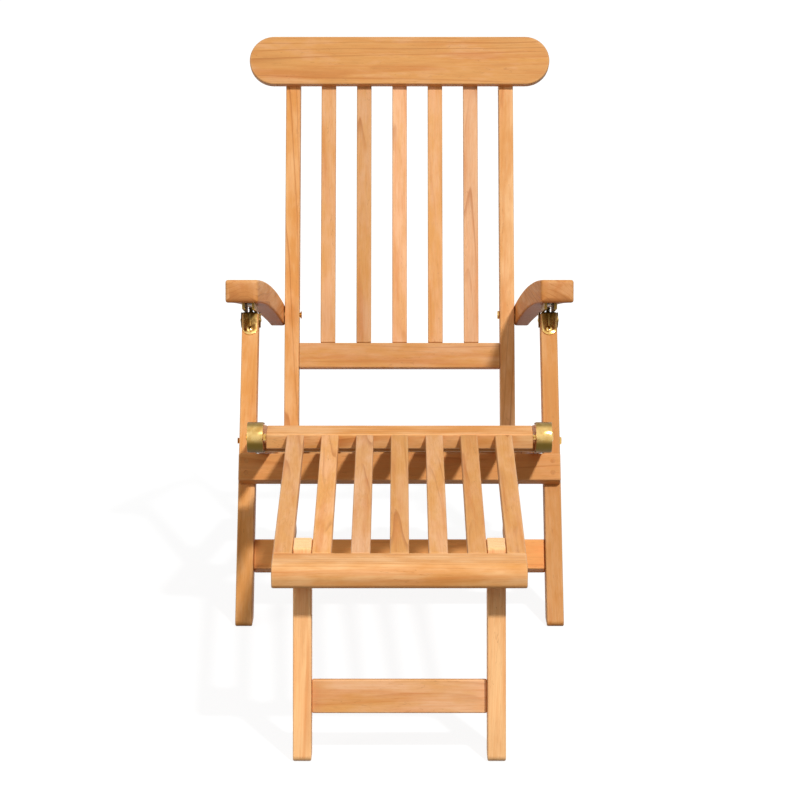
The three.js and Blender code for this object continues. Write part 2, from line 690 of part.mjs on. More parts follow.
put(footLegs, 'footrest_stretcher', crossRail(footStretcherHalf, -footStretcherDrop, footStretcherHeight,
  -footStretcherThickness / 2, footStretcherThickness / 2));

export default chair;
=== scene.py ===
import json
import math

import bpy
import numpy as np
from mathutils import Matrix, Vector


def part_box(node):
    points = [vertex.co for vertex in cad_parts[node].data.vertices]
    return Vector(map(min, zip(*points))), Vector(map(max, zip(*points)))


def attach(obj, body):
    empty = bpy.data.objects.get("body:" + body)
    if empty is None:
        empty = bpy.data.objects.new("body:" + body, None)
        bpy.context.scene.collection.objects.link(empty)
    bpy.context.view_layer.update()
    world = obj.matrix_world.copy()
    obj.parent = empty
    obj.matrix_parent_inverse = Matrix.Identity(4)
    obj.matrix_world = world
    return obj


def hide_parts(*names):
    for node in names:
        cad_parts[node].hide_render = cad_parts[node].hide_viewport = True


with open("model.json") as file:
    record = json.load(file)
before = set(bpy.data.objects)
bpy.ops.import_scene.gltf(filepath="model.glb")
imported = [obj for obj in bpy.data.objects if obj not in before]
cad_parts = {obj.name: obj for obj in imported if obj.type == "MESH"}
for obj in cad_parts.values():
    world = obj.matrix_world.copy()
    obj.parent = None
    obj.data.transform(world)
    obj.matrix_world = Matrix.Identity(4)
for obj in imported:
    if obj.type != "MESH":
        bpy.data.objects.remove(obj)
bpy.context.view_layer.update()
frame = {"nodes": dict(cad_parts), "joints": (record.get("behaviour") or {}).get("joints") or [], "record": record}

# Settings are in millimetres and degrees; mm turns them into Blender's metres.
mm = 0.001

# The chair's moving frames: the slope of each one's own length, from level, rising to the rear.
leans = {
    "seat": -13.1,
    "frontLegs": 57.5,
    "rearLegs": 132.2,
    "back": 70.0,
    "footrest": 7.2,
    "footrestLegs": 77.7,
    "level": 0.0,
}

sides = {"left": -1, "right": 1}


# Places

def toBoard(points, lean):
    # Turns points about the chair's cross axis, so that the second coordinate runs along the board.
    turn = math.radians(lean)
    x, y, z = points.T
    along = y * math.cos(turn) + z * math.sin(turn)
    above = z * math.cos(turn) - y * math.sin(turn)
    return np.stack([x, along, above], 1)


def toChair(points, lean):
    return toBoard(points, -lean)


def nodePoints(node):
    mesh = frame["nodes"][node].data
    points = np.empty(len(mesh.vertices) * 3, np.float32)
    mesh.vertices.foreach_get("co", points)
    return points.reshape(-1, 3).astype(float)


def spanOf(node, lean):
    # The node's lowest and highest corner across, along and above, in its own frame.
    turned = toBoard(nodePoints(node), lean)
    return turned.min(0), turned.max(0)


def bodyOf(node):
    bodies = frame["record"]["behaviour"]["bodies"]
    return next(body for body, members in bodies.items() if node in members)


def slotOf(node):
    return next(part["material_slot"] for part in frame["record"]["subparts"] if part["node"] == node)


# Shapes: every shape is a grid of rings, closed at both ends

edges = {
    "leastRound": 0.05,   # of a drawn-in corner
    "flatFrom": 2.0,      # a board's face is flat this far inside its eased edge
    "easeSteps": 4,
    "sectionSteps": 5,
    "pathSteps": 5,
    "nearlyHalf": 0.45,   # the most of a side that a path's rounding takes
    "nearlyAll": 0.98,    # the most of a half width that a section's rounding takes
}


def closedShape(grid):
    # Four-sided faces join each ring to the next and close round it, and one polygon covers each end.
    rings, count = grid.shape[:2]
    points = grid.reshape(-1, 3)
    ring = np.arange(rings - 1)[:, None] * count
    step = np.arange(count)[None]
    after = (step + 1) % count
    quads = np.stack([ring + step, ring + after, ring + count + after, ring + count + step], 2).reshape(-1, 4)
    first = np.arange(count)
    last = first + (rings - 1) * count
    fan = np.stack([np.zeros(count - 2, int), first[1:-1], first[2:]], 1)
    triangles = np.concatenate([quads[:, [0, 1, 2]], quads[:, [0, 2, 3]], fan[:, ::-1], fan + last[0]])
    a, b, c = (points[triangles[:, corner]] for corner in range(3))
    faces = quads.tolist() + [first[::-1].tolist(), last.tolist()]
    # The enclosed volume is negative where the faces point inwards.
    if (np.cross(a, b) * c).sum() < 0:
        faces = [face[::-1] for face in faces]
    return points, faces


def joinShapes(shapes):
    starts = np.cumsum([0] + [len(points) for points, faces in shapes])
    points = np.concatenate([points for points, faces in shapes])
    faces = [[start + corner for corner in face] for start, shape in zip(starts, shapes) for face in shape[1]]
    return points, faces


def filletLoop(corners, inset, steps):
    # Moves every side of the outline inwards by the inset, then rounds each corner with an arc that
    # touches both of its sides. Gives the points and their outward directions.
    corner = corners[:, :2]
    along = np.roll(corner, -1, 0) - corner
    along /= np.linalg.norm(along, axis=1, keepdims=True)
    outward = np.stack([along[:, 1], -along[:, 0]], 1)
    before = np.roll(outward, 1, 0)
    cosine = (before * outward).sum(1)
    turn = np.arctan2(before[:, 0] * outward[:, 1] - before[:, 1] * outward[:, 0], cosine)
    radius = np.maximum(corners[:, 2] - inset, edges["leastRound"] * mm)
    centre = corner - (before + outward) * ((inset + radius) / (1 + cosine))[:, None]
    start = np.arctan2(before[:, 1], before[:, 0])
    angle = start[:, None] + turn[:, None] * np.linspace(0, 1, steps)
    normal = np.stack([np.cos(angle), np.sin(angle)], 2)
    points = centre[:, None] + normal * radius[:, None, None]
    return points.reshape(-1, 2), normal.reshape(-1, 2)


def boardGrid(corners, cornerSteps, low, high, ease, easeSteps=edges["easeSteps"]):
    # Carries an outline through a board's thickness. Both edges are a quarter circle of radius ease: at an
    # angle q the ring is drawn in by ease times (1 - sin q) and lies ease times (1 - cos q) into the board.
    flat = ease + edges["flatFrom"] * mm
    quarter = np.linspace(0, math.pi / 2, easeSteps + 1)
    inset = np.concatenate([[flat], ease * (1 - np.sin(quarter)), [0]])
    depth = np.concatenate([[0], ease * (1 - np.cos(quarter)), [flat]])
    slant = np.concatenate([[0], quarter, [math.pi / 2]])
    worn = np.concatenate([[0], (1 + np.sin(2 * quarter)) / 2, [0]])
    rings = []
    normals = []
    for place, sign, order in ((low, 1, 1), (high, -1, -1)):
        for ring in range(len(inset))[::order]:
            points, outward = filletLoop(corners, inset[ring], cornerSteps)
            thickness = np.full(len(points), place + sign * depth[ring])
            rings.append(np.column_stack([thickness, points]))
            facing = np.full(len(points), -sign * math.cos(slant[ring]))
            normals.append(np.column_stack([facing, outward * math.sin(slant[ring])]))
    wear = np.concatenate([worn, worn[::-1]])
    return np.array(rings), np.array(normals), np.repeat(wear, len(rings[0]))


def roundedSection(halfWidth, halfHeight, radius, steps):
    # A rounded rectangle at every station at once, each corner a quarter circle. Gives the places across
    # and square to the path.
    quarter = np.linspace(0, math.pi / 2, steps)
    across = []
    square = []
    for turn, (signX, signZ) in enumerate([(1, 1), (-1, 1), (-1, -1), (1, -1)]):
        cosine, sine = np.cos(quarter), np.sin(quarter)
        if turn % 2:
            cosine, sine = sine, cosine
        across.append(signX * (halfWidth[:, None] - radius[:, None] * (1 - cosine)))
        square.append(signZ * (halfHeight[:, None] - radius[:, None] * (1 - sine)))
    return np.concatenate(across, 1), np.concatenate(square, 1)


def roundedPath(corners, radius, steps=edges["pathSteps"]):
    # Each inner corner of a line becomes a parabola that starts and ends the radius away from it.
    corners = np.array(corners, float)
    share = np.linspace(0, 1, steps)[:, None]
    parts = [corners[:1]]
    for before, corner, after in zip(corners, corners[1:], corners[2:]):
        lengths = [np.linalg.norm(neighbour - corner) for neighbour in (before, after)]
        reach = min(radius, min(lengths) * edges["nearlyHalf"])
        start = corner + (before - corner) / lengths[0] * reach
        end = corner + (after - corner) / lengths[1] * reach
        parts.append(start * (1 - share) ** 2 + 2 * corner * share * (1 - share) + end * share ** 2)
    return np.concatenate(parts + [corners[-1:]])


def revolved(profile, segments):
    # Turns pairs of radius and height about the height's axis.
    angle = np.linspace(0, 2 * math.pi, segments, endpoint=False)
    radius, height = np.array(profile, float).T
    x = radius[:, None] * np.cos(angle)
    y = radius[:, None] * np.sin(angle)
    z = np.broadcast_to(height[:, None], x.shape)
    return closedShape(np.stack([x, y, z], 2))


def stood(shape, place, up):
    # Stands a shape's own height along the direction up, with its foot at the place.
    points, faces = shape
    up = np.array(up, float) / np.linalg.norm(up)
    liesAcross = np.abs(up).argmax() == 0
    helper = np.array([0, 0, 1.0]) if liesAcross else np.array([1.0, 0, 0])
    first = np.cross(helper, up)
    first /= np.linalg.norm(first)
    basis = np.stack([first, np.cross(up, first), up])
    return points @ basis + np.array(place, float), faces


domes = {"steps": 7, "tip": 0.12, "segments": 32, "footDepth": 0.4, "footShare": 0.5}


def domeProfile(radius, rise, foot=0.0):
    # A spherical cap: at an angle q of a quarter turn the radius shrinks by cos q and the height grows by
    # sin q. It ends in a small flat tip.
    quarter = np.linspace(0, math.pi / 2, domes["steps"])[:-1]
    tip = [[radius * domes["tip"], foot + rise]]
    return [[radius * math.cos(q), foot + rise * math.sin(q)] for q in quarter] + tip


def domeAt(radius, rise, place, up):
    # A low round head, in millimetres, with a small foot below it, so that it stands in its ground.
    foot = -domes["footDepth"]
    profile = [[radius * domes["footShare"], foot], [radius, foot]] + domeProfile(radius, rise)
    return stood(revolved(np.array(profile) * mm, domes["segments"]), place, up)


# Materials

# From a screen's value to light: a straight line up to the limit, and a lifted power above it.
screenCurve = {"limit": 0.04045, "divisor": 12.92, "lift": 0.055, "power": 2.4, "white": 255}


def linear(red, green, blue):
    # A colour as a screen shows it, 0 to 255, as the light that Blender counts in.
    share = np.array([red, green, blue]) / screenCurve["white"]
    curved = ((share + screenCurve["lift"]) / (1 + screenCurve["lift"])) ** screenCurve["power"]
    light = np.where(share <= screenCurve["limit"], share / screenCurve["divisor"], curved)
    return (*light.tolist(), 1.0)


def newMaterial(name):
    material = bpy.data.materials.new(name)
    material.use_nodes = True
    return material, material.node_tree, material.node_tree.nodes["Principled BSDF"]


def addNode(tree, kind, inputs, **fields):
    made = tree.nodes.new("ShaderNode" + kind)
    for field, value in fields.items():
        setattr(made, field, value)
    for key, value in inputs.items():
        if isinstance(value, bpy.types.NodeSocket):
            tree.links.new(value, made.inputs[key])
        else:
            made.inputs[key].default_value = value
    return made


def figure(tree, operation, *values):
    return addNode(tree, "Math", dict(enumerate(values)), operation=operation).outputs[0]


def remap(tree, value, low, high, toLow=0.0, toHigh=1.0):
    inputs = {"Value": value, "From Min": low, "From Max": high, "To Min": toLow, "To Max": toHigh}
    return addNode(tree, "MapRange", inputs, interpolation_type="SMOOTHSTEP").outputs["Result"]


def noiseAt(tree, place, repeats, detail=2.0, roughness=0.5, distortion=0.0):
    # Noise that comes back so many times in a metre along, across and through.
    spread = addNode(tree, "VectorMath", {0: place, 1: repeats}, operation="MULTIPLY").outputs["Vector"]
    inputs = {"Vector": spread, "Scale": 1.0, "Detail": detail, "Roughness": roughness,
              "Distortion": distortion}
    return addNode(tree, "TexNoise", inputs).outputs["Fac"]


# The mix node has sockets for several kinds of data, and these are the ones for colours.
mixSockets = {"factor": 0, "first": 6, "second": 7, "result": 2}


def mixed(tree, factor, first, second, kind="MIX"):
    inputs = {mixSockets["factor"]: factor, mixSockets["first"]: first, mixSockets["second"]: second}
    made = addNode(tree, "Mix", inputs, data_type="RGBA", blend_type=kind)
    return made.outputs[mixSockets["result"]]


def attributeOf(tree, name, output):
    return addNode(tree, "Attribute", {}, attribute_name=name).outputs[output]


def addBump(tree, shader, height, strength, depth):
    bump = addNode(tree, "Bump", {"Strength": strength, "Distance": depth * mm, "Height": height})
    tree.links.new(bump.outputs[0], shader.inputs["Normal"])


teaks = {
    "teak": {"honey": linear(226, 157, 84), "rose": linear(236, 186, 130), "rings": 0.62},
    "teak_pale": {"honey": linear(232, 168, 96), "rose": linear(234, 182, 136), "rings": 0.56},
}
# Ranges are from low to high, and then what they become. Shares say how much of a colour is laid on.
woodGrain = {
    "ringSpacing": 8.5,
    "ringBend": 3.4,
    "bend": {"repeats": (1.6, 22, 22), "roughness": 0.45},
    "lateRise": (0.72, 0.95),
    "lateFall": (0.998, 0.95),
    "presence": {"repeats": (2, 24, 24)},
    "presenceRange": (0.42, 0.62, 0.1, 1.0),
    "ringColour": linear(170, 92, 36),
    "fibre": {"repeats": (9, 520, 520), "detail": 3, "roughness": 0.6},
    "fibreRange": (0.3, 0.75, 0.0, 0.3),
    "fibreColour": linear(216, 130, 60),
    "smoke": {"repeats": (3, 60, 60), "detail": 3, "roughness": 0.55, "distortion": 0.4},
    "smokeRange": (0.48, 0.72, 0.0, 0.5),
    "smokeColour": linear(210, 126, 60),
    "mineral": {"repeats": (7, 60, 60), "detail": 3, "roughness": 0.55},
    "mineralLevel": 0.62,
    "mineralRange": (0.006, 0.0, 0.0, 0.3),
    "mineralColour": linear(150, 82, 32),
    "pore": {"repeats": (55, 1500, 1500), "detail": 1},
    "poreRange": (0.6, 0.7),
    "poreShare": 0.16,
    "poreColour": linear(150, 82, 32),
    "mottle": {"repeats": (9, 34, 34), "detail": 4, "roughness": 0.6},
    "hueRange": (0.3, 0.7, -0.5, 0.5),
    "lightRange": (0.25, 0.75, 0.95, 1.07),
    "brownColour": linear(196, 122, 66),
    "endShare": 0.45,
    "endColour": linear(196, 124, 70),
    "wornShare": 0.22,
    "wornColour": linear(244, 196, 138),
    "dullRange": (0.2, 0.8, 0.44, 0.6),
    "wornGloss": 0.08,
    "specular": 0.16,
    "fibreHeight": 0.5,
    "lateHeight": 0.15,
    "bumpStrength": 0.2,
    "bumpDepth": 0.15,
}


def teakMaterial(slot):
    # Boards carry three attributes. "grain" is the place in the tree: along, across and through the board.
    # "traits" holds the board's tint, its wear at the edges and its end grain, and "shade" its lightness.
    look = teaks[slot]
    wood = woodGrain
    material, tree, shader = newMaterial(slot)
    grain = attributeOf(tree, "grain", "Vector")
    shade = attributeOf(tree, "shade", "Fac")
    tint, worn, endGrain = addNode(tree, "SeparateXYZ", {0: attributeOf(tree, "traits", "Vector")}).outputs
    # Growth rings: the distance from the tree's heart, bent by slow noise, cut into saw teeth.
    fromHeart = addNode(tree, "SeparateXYZ", {0: grain}).outputs
    squares = [figure(tree, "MULTIPLY", offset, offset) for offset in fromHeart[1:3]]
    distance = figure(tree, "SQRT", figure(tree, "ADD", *squares))
    rings = figure(tree, "DIVIDE", distance, wood["ringSpacing"] * mm)
    bend = figure(tree, "MULTIPLY", noiseAt(tree, grain, **wood["bend"]), wood["ringBend"])
    tooth = figure(tree, "FRACT", figure(tree, "ADD", rings, bend))
    rise, fall = (remap(tree, tooth, *wood[name]) for name in ("lateRise", "lateFall"))
    late = figure(tree, "MULTIPLY", rise, fall)
    presence = remap(tree, noiseAt(tree, grain, **wood["presence"]), *wood["presenceRange"])
    ringShare = figure(tree, "MULTIPLY", figure(tree, "MULTIPLY", late, presence), look["rings"])
    # Fibres, smoky streaks, mineral lines, pores and the slow change of tone along a board.
    fibre = noiseAt(tree, grain, **wood["fibre"])
    smoke = noiseAt(tree, grain, **wood["smoke"])
    fromLine = figure(tree, "SUBTRACT", noiseAt(tree, grain, **wood["mineral"]), wood["mineralLevel"])
    pore = remap(tree, noiseAt(tree, grain, **wood["pore"]), *wood["poreRange"])
    mottle = noiseAt(tree, grain, **wood["mottle"])
    hue = figure(tree, "ADD", tint, remap(tree, mottle, *wood["hueRange"]))
    colour = mixed(tree, hue, look["honey"], look["rose"])
    layers = {
        "brownColour": figure(tree, "MULTIPLY", tint, -1.0),
        "ringColour": ringShare,
        "fibreColour": remap(tree, fibre, *wood["fibreRange"]),
        "smokeColour": remap(tree, smoke, *wood["smokeRange"]),
        "mineralColour": remap(tree, figure(tree, "ABSOLUTE", fromLine), *wood["mineralRange"]),
        "poreColour": figure(tree, "MULTIPLY", pore, wood["poreShare"]),
        "endColour": figure(tree, "MULTIPLY", endGrain, wood["endShare"]),
        "wornColour": figure(tree, "MULTIPLY", worn, wood["wornShare"]),
    }
    for name, amount in layers.items():
        colour = mixed(tree, amount, colour, wood[name])
    light = figure(tree, "MULTIPLY", remap(tree, mottle, *wood["lightRange"]), shade)
    grey = addNode(tree, "CombineColor", {0: light, 1: light, 2: light}).outputs[0]
    colour = mixed(tree, 1.0, colour, grey, "MULTIPLY")
    tree.links.new(colour, shader.inputs["Base Color"])
    # Oiled wood: smoother where hands and backs have rubbed it, with pores cut into it.
    rubbed = figure(tree, "MULTIPLY", worn, wood["wornGloss"])
    dull = figure(tree, "SUBTRACT", remap(tree, fibre, *wood["dullRange"]), rubbed)
    tree.links.new(dull, shader.inputs["Roughness"])
    shader.inputs["Specular IOR Level"].default_value = wood["specular"]
    raised = figure(tree, "MULTIPLY", fibre, wood["fibreHeight"])
    sunken = figure(tree, "ADD", pore, figure(tree, "MULTIPLY", late, wood["lateHeight"]))
    height = figure(tree, "SUBTRACT", raised, sunken)
    addBump(tree, shader, height, wood["bumpStrength"], wood["bumpDepth"])
    return material


brass = {
    "bright": linear(240, 202, 128),
    "deep": linear(216, 168, 90),
    "patch": {"repeats": (70, 70, 70), "detail": 3},
    "patchRange": (0.35, 0.65),
    "spotColour": linear(120, 84, 40),
    "spot": {"repeats": (420, 420, 420)},
    "spotRange": (0.64, 0.74),
    "spotShare": 0.4,
    "spotDull": 0.2,
    "smudge": {"repeats": (160, 160, 160), "detail": 3},
    "smudgeRange": (0.35, 0.7, 0.1, 0.2),
    # The dark colour of the painted shade and painted reflection on the brass.
    "paintedBrassShadeColour": linear(104, 84, 36),
    "paintedBrassShadeDull": 0.3,
    "scratch": {"repeats": (2600, 90, 500)},
    "bumpStrength": 0.1,
    "bumpDepth": 0.02,
}


def brassMaterial():
    # Polished brass: slow patches of tone, finger smudges in the gloss and fine scratches. An attribute from each
    # piece darkens and dulls the brass where it is 1: painted shade and painted reflection, such as the arm's
    # shadow on the leg caps, the straps' dark lower band and the shade on the pins and channels under the arms.
    material, tree, shader = newMaterial("brass")
    place = addNode(tree, "TexCoord", {}).outputs["Object"]
    paintedBrassShade = attributeOf(tree, "paintedBrassShade", "Fac")
    patch = remap(tree, noiseAt(tree, place, **brass["patch"]), *brass["patchRange"])
    spots = remap(tree, noiseAt(tree, place, **brass["spot"]), *brass["spotRange"])
    colour = mixed(tree, patch, brass["deep"], brass["bright"])
    colour = mixed(tree, figure(tree, "MULTIPLY", spots, brass["spotShare"]), colour, brass["spotColour"])
    # Painted shade: the dark colour is laid on where the attribute says.
    colour = mixed(tree, paintedBrassShade, colour, brass["paintedBrassShadeColour"])
    tree.links.new(colour, shader.inputs["Base Color"])
    shader.inputs["Metallic"].default_value = 1.0
    dull = remap(tree, noiseAt(tree, place, **brass["smudge"]), *brass["smudgeRange"])
    dull = figure(tree, "ADD", dull, figure(tree, "MULTIPLY", spots, brass["spotDull"]))
    dull = figure(tree, "ADD", dull, figure(tree, "MULTIPLY", paintedBrassShade, brass["paintedBrassShadeDull"]))
    tree.links.new(dull, shader.inputs["Roughness"])
    scratch = noiseAt(tree, place, **brass["scratch"])
    addBump(tree, shader, scratch, brass["bumpStrength"], brass["bumpDepth"])
    return material


materials = {slot: teakMaterial(slot) for slot in teaks}
materials["brass"] = brassMaterial()
print("materials ready")


# Pieces: each one takes its body and finish from the node that it stands for, or is fixed to

creaseAngle = 40


def addPiece(name, node, shape, attributes, normals=None, crease=creaseAngle, standsFor=True):
    points, faces = shape
    mesh = bpy.data.meshes.new(name)
    mesh.from_pydata(points.tolist(), [], faces)
    mesh.shade_smooth()
    if normals is None:
        mesh.set_sharp_from_angle(angle=math.radians(crease))
    else:
        mesh.normals_split_custom_set_from_vertices(normals)
    for key, values in attributes.items():
        vector = np.ndim(values) == 2
        attribute = mesh.attributes.new(key, "FLOAT_VECTOR" if vector else "FLOAT", "POINT")
        attribute.data.foreach_set("vector" if vector else "value", np.asarray(values, np.float32).ravel())
    mesh.materials.append(materials[slotOf(node)])
    piece = bpy.data.objects.new(name, mesh)
    bpy.context.scene.collection.objects.link(piece)
    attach(piece, bodyOf(node))
    slotOf(node)
    if standsFor:
        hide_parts(node)


# Which of across, along and above the grain follows, then runs across and through.
grainOrders = {"along": [1, 2, 0], "slat": [1, 0, 2], "across": [0, 1, 2]}

# Where a tree's heart may lie beside and behind its board, and how much it may lean along it. A flat
# board's place beside is a share of its width. They are drawn in this order.
hearts = {
    "flatBeside": (-0.3, 0.3), "flatBehind": (14, 30),
    "quarteredBeside": (30, 60), "quarteredBehind": (-8, 8),
    "leanAcross": (-0.02, 0.02), "leanThrough": (0.02, 0.045),
}
treeLength = 40.0  # metres of grain, from which each board is cut at its own place


def grainOf(points, order, seed, cut):
    # The board's place in its tree. Its heart lies outside the board, and leans a little along it, which
    # draws the rings out into long arches on a flat face. A quartered board has its heart beside it.
    chance = np.random.default_rng(seed)
    drawn = {name: chance.uniform(*span) for name, span in hearts.items()}
    leanSign = chance.choice([-1, 1])
    treePlace = chance.uniform(0, treeLength)
    along, across, through = (points[:, axis] for axis in grainOrders[order])
    width = np.ptp(across)
    if cut == "flat":
        beside = drawn["flatBeside"] * width
        behind = drawn["flatBehind"] * mm
    else:
        beside = width / 2 + drawn["quarteredBeside"] * mm
        behind = drawn["quarteredBehind"] * mm
    fromMiddle = along - along.mean()
    return np.stack([
        along + treePlace,
        across - across.mean() + beside + fromMiddle * drawn["leanAcross"],
        through - through.mean() + behind + fromMiddle * drawn["leanThrough"] * leanSign,
    ], 1)


# Boards: each one takes its size and place from its node's span in its own frame

boardEdges = {
    "ease": 2.2, "corner": 2.4, "cornerSteps": 4,
    "slatEase": 2.4, "slatCorner": 2.6,
    "headrestEase": 2.6, "headrestSteps": 16,
    "sideSteps": 7, "halfRoundSteps": 10,
    "stileTop": 3, "frontLegFoot": 7, "frontLegTop": 6, "rearLegFoot": 8,
    "footrestLegFoot": 8, "footrestLegTop": 5, "footrestLegRise": 1,
    "noseAbove": 20, "noseBelow": 8, "noseRear": 2, "noseSteps": 12,
}

# Each kind's frame and cut, then its tints and shades in the order of its nodes' names. Tint runs from
# brown at -1 over honey at 0 to rose at 1, and shade is lightness.
boardLooks = {
    "side_rail": ("seat", "quartered", [0.3, 0.45], [0.97, 1.0]),
    "front_leg": ("frontLegs", "quartered", [0.25, -0.05], [1.02, 0.85]),
    "rear_leg": ("rearLegs", "quartered", [0.4, 0.2], [0.95, 0.98]),
    "stile": ("back", "flat", [0.2, 0.65], [1.02, 1.02]),
    "footrest_leg": ("footrestLegs", "quartered", [1.3, 1.2], [1.2, 1.12]),
    "seat_slat": ("seat", "flat", [0.4, 0.2, 0.6, 0.3, 0.5, 0.2, 0.4],
                  [1.0, 1.03, 0.98, 1.0, 1.02, 0.97, 1.0]),
    "back_slat": ("back", "flat", [0.4, 0.35, 0.85, 0.3, 1.35], [0.95, 0.85, 1.09, 0.99, 0.98]),
    "footrest_slat": ("footrest", "flat", [0.5, 0.2, 0.7, 0.0, 0.35, -0.1, 0.15],
                      [0.95, 1.05, 0.93, 0.87, 0.93, 0.87, 0.91]),
    "seat_front_rail": ("seat", "flat", [0.4], [0.95]),
    "seat_rear_rail": ("seat", "flat", [0.3], [0.97]),
    "rear_stretcher": ("rearLegs", "flat", [0.5], [0.97]),
    "front_apron": ("frontLegs", "flat", [-0.3], [0.95]),
    # The front stretcher's shade is raised above the other boards' to lighten the footrest's shadow it lies in:
    # painted light.
    "front_stretcher": ("frontLegs", "flat", [-0.4], [1.3]),
    "back_lower_rail": ("back", "quartered", [0.3], [0.89]),
    "headrest": ("back", "flat", [0.0], [0.88]),
    "footrest_rear_rail": ("footrest", "quartered", [0.45], [1.05]),
    "footrest_front_rail": ("footrest", "quartered", [0.6], [0.96]),
    "footrest_stretcher": ("footrestLegs", "flat", [0.6], [0.98]),
}

# End grain starts where a face has turned this far towards the board's end. The footrest legs' ends are made paler
# instead, a painted highlight on their lit tops.
endSettings = {"facing": 0.375, "paleEndKinds": ["footrest_leg"], "paleEndLift": 3.0}


def rectangle(low, high, rounds):
    # An outline's four corners, counterclockwise from the lowest, each with its own rounding.
    left, bottom = low
    right, top = high
    return np.column_stack([[left, right, right, left], [bottom, bottom, top, top], rounds])


def flatBoard(node, lean, ease, corner, cornerSteps=boardEdges["cornerSteps"]):
    # The outline lies across and along the frame, the thickness above it.
    low, high = spanOf(node, lean)
    corners = rectangle(low[:2], high[:2], [corner * mm] * 4)
    grid, normals, worn = boardGrid(corners, cornerSteps, low[2], high[2], ease * mm)
    return closedShape(grid[:, :, [1, 2, 0]]), normals.reshape(-1, 3)[:, [1, 2, 0]], worn


def sideBoard(node, lean, cornersOf, cornerSteps=boardEdges["sideSteps"]):
    # The outline lies along and above the frame, the thickness across it.
    low, high = spanOf(node, lean)
    ease = boardEdges["ease"] * mm
    grid, normals, worn = boardGrid(cornersOf(low, high), cornerSteps, low[0], high[0], ease)
    return closedShape(grid), normals.reshape(-1, 3), worn


def barCorners(endRound):
    # A bar's side: a half round start, and an end that is half round too, or has small rounded corners.
    def corners(low, high):
        start = (high[2] - low[2]) / 2
        end = endRound * mm if endRound else start
        return rectangle(low[1:], high[1:], [start, end, end, start])
    return corners


def noseCorners(low, high):
    # The front rail's side: a large round above, a small one below.
    below, rear, above = (boardEdges[name] * mm for name in ("noseBelow", "noseRear", "noseAbove"))
    return rectangle(low[1:], high[1:], [below, rear, rear, above])


def legCorners(lean, footRound, top=None):
    # A leg's side: a level foot on the floor, and a half round top unless one is given.
    slope = math.tan(math.radians(lean))

    def corners(low, high):
        half = (high[2] - low[2]) / 2
        foot = footRound * mm
        topLow, topHigh, topRound = top(low, high) if top else (high[1], high[1], half)
        return np.array([[-low[2] / slope, low[2], foot], [topLow, low[2], topRound],
                         [topHigh, high[2], topRound], [-high[2] / slope, high[2], foot]])
    return corners


def channelSlopeOf(node):
    # The channel under the arm is straight, so its slope is that of the front leg's top.
    points = nodePoints(node)[:, 1:]
    axis = np.linalg.svd(points - points.mean(0))[2][0]
    axis = axis if axis[0] > 0 else -axis
    return math.atan2(axis[1], axis[0])


channelSlope = channelSlopeOf("left_arm_channel")


def squareToChannel(node, lean):
    # The direction square to the channel in the node's own frame, and how far the node reaches along it.
    lift = channelSlope - math.radians(lean)
    square = np.array([-math.sin(lift), math.cos(lift)])
    reach = (toBoard(nodePoints(node), lean)[:, 1:] @ square).max()
    return square, reach


def slantedTop(node, lean):
    # The top's plane lies along the channel.
    square, reach = squareToChannel(node, lean)

    def top(low, high):
        places = [(reach - square[1] * above) / square[0] for above in (low[2], high[2])]
        return *places, boardEdges["frontLegTop"] * mm
    return top


def levelTop(lean):
    # The footrest legs' tops are cut a little above the slats' faces.
    height = spanOf("footrest_slat_1", leans["footrest"])[1][2] + boardEdges["footrestLegRise"] * mm
    lift = math.radians(lean - leans["footrest"])

    def top(low, high):
        places = [(height - above * math.cos(lift)) / math.sin(lift) for above in (low[2], high[2])]
        return *places, boardEdges["footrestLegTop"] * mm
    return top


def boardFor(node, kind, lean):
    # Which outline each kind of board has, and how its grain runs.
    sizes = boardEdges
    halfRound = sizes["halfRoundSteps"]
    if kind == "side_rail":
        return sideBoard(node, lean, barCorners(None), halfRound), "along"
    if kind == "stile":
        return sideBoard(node, lean, barCorners(sizes["stileTop"]), halfRound), "along"
    if kind == "rear_leg":
        return sideBoard(node, lean, legCorners(lean, sizes["rearLegFoot"]), halfRound), "along"
    if kind == "front_leg":
        corners = legCorners(lean, sizes["frontLegFoot"], slantedTop(node, lean))
        return sideBoard(node, lean, corners), "along"
    if kind == "footrest_leg":
        corners = legCorners(lean, sizes["footrestLegFoot"], levelTop(lean))
        return sideBoard(node, lean, corners), "along"
    if kind == "footrest_front_rail":
        return sideBoard(node, lean, noseCorners, sizes["noseSteps"]), "across"
    if kind == "headrest":
        low, high = spanOf(node, lean)
        half = (high[1] - low[1]) / 2 / mm
        return flatBoard(node, lean, sizes["headrestEase"], half, sizes["headrestSteps"]), "across"
    if kind.endswith("_slat"):
        return flatBoard(node, lean, sizes["slatEase"], sizes["slatCorner"]), "slat"
    return flatBoard(node, lean, sizes["ease"], sizes["corner"]), "across"


def nodesOf(kind):
    # A kind is one node, a left and a right one, or a numbered row.
    return [name for name in sorted(frame["nodes"])
            if name in (kind, f"left_{kind}", f"right_{kind}")
            or (name.startswith(f"{kind}_") and name[len(kind) + 1:].isdigit())]


def addBoard(node, kind, index, seed):
    frameName, cut, tints, shades = boardLooks[kind]
    lean = leans[frameName]
    ((points, faces), normals, worn), order = boardFor(node, kind, lean)
    facing = np.abs(normals[:, grainOrders[order][0]])
    endGrain = np.clip((facing - endSettings["facing"]) / (1 - endSettings["facing"]), 0, 1)
    # Painted highlight: the footrest legs' ends are made paler, not darker.
    if kind in endSettings["paleEndKinds"]:
        worn = worn + endGrain * endSettings["paleEndLift"]
        endGrain = endGrain * 0
    attributes = {
        "grain": grainOf(points, order, seed, cut),
        "traits": np.stack([np.full(len(points), tints[index]), worn, endGrain], 1),
        "shade": np.full(len(points), shades[index]),
    }
    addPiece(f"{node}_board", node, (toChair(points, lean), faces), attributes, toChair(normals, lean))


seed = 20
for kind in boardLooks:
    for index, node in enumerate(nodesOf(kind)):
        seed += 1
        addBoard(node, kind, index, seed)
print("boards ready")


# Arms

